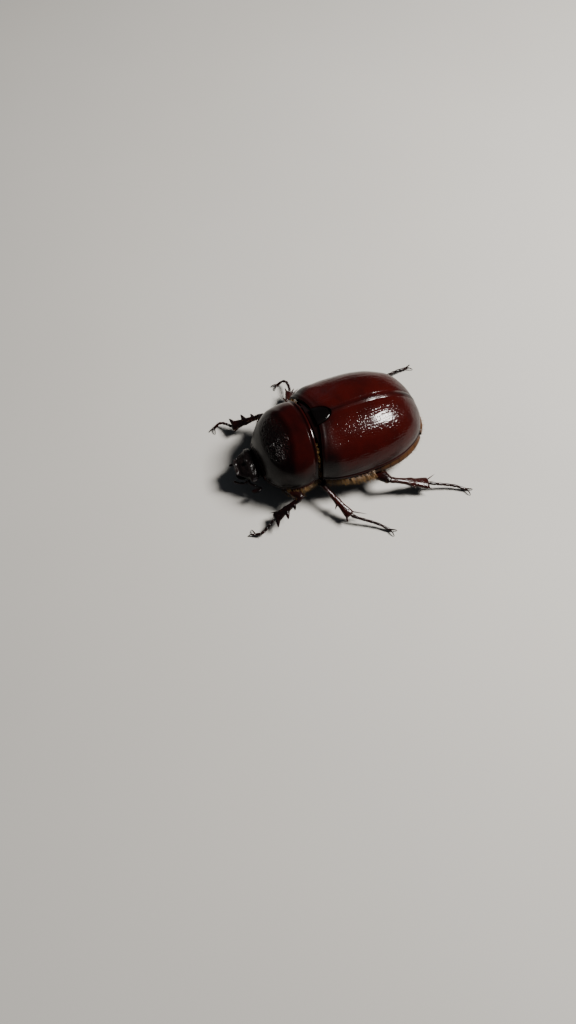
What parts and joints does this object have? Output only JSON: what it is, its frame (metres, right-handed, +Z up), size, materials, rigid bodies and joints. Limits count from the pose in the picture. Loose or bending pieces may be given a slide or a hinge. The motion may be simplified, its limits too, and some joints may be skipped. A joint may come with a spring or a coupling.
{
  "type": "rhinoceros beetle",
  "caption": "Life-size female rhinoceros beetle with glossy mahogany wing cases, walking on spread legs.",
  "frame": {"origin": "middle of the bounding box's footprint, on the floor the feet stand on", "axes": "+Z up, head towards -Y, the beetle's left side towards +X"},
  "size_m": [0.037, 0.0416, 0.0139],
  "materials": {
    "mahogany_shell": "glossy dark mahogany chitin",
    "black_shell": "glossy black chitin",
    "leg_shell": "glossy black-brown chitin",
    "tan_shell": "satin tan chitin under golden hair",
    "eye": "glossy black eye"
  },
  "bodies": {
    "root": {"elytron_left": "mahogany_shell", "elytron_right": "mahogany_shell", "scutellum": "black_shell", "prothorax": "mahogany_shell", "thorax": "tan_shell", "abdomen": "tan_shell", "pygidium": "tan_shell", "head": "black_shell", "horn": "black_shell", "eye_left": "eye", "eye_right": "eye", "labium": "tan_shell", "antenna_left": "leg_shell", "palp_left": "leg_shell", "mandible_left": "black_shell", "antenna_right": "leg_shell", "palp_right": "leg_shell", "mandible_right": "black_shell", "coxa_front_left": "leg_shell", "femur_front_left": "leg_shell", "tibia_front_left": "leg_shell", "tarsus_front_left": "leg_shell", "coxa_front_right": "leg_shell", "femur_front_right": "leg_shell", "tibia_front_right": "leg_shell", "tarsus_front_right": "leg_shell", "coxa_middle_left": "leg_shell", "femur_middle_left": "leg_shell", "tibia_middle_left": "leg_shell", "tarsus_middle_left": "leg_shell", "coxa_middle_right": "leg_shell", "femur_middle_right": "leg_shell", "tibia_middle_right": "leg_shell", "tarsus_middle_right": "leg_shell", "coxa_hind_left": "leg_shell", "femur_hind_left": "leg_shell", "tibia_hind_left": "leg_shell", "tarsus_hind_left": "leg_shell", "coxa_hind_right": "leg_shell", "femur_hind_right": "leg_shell", "tibia_hind_right": "leg_shell", "tarsus_hind_right": "leg_shell"}
  },
  "joints": []
}
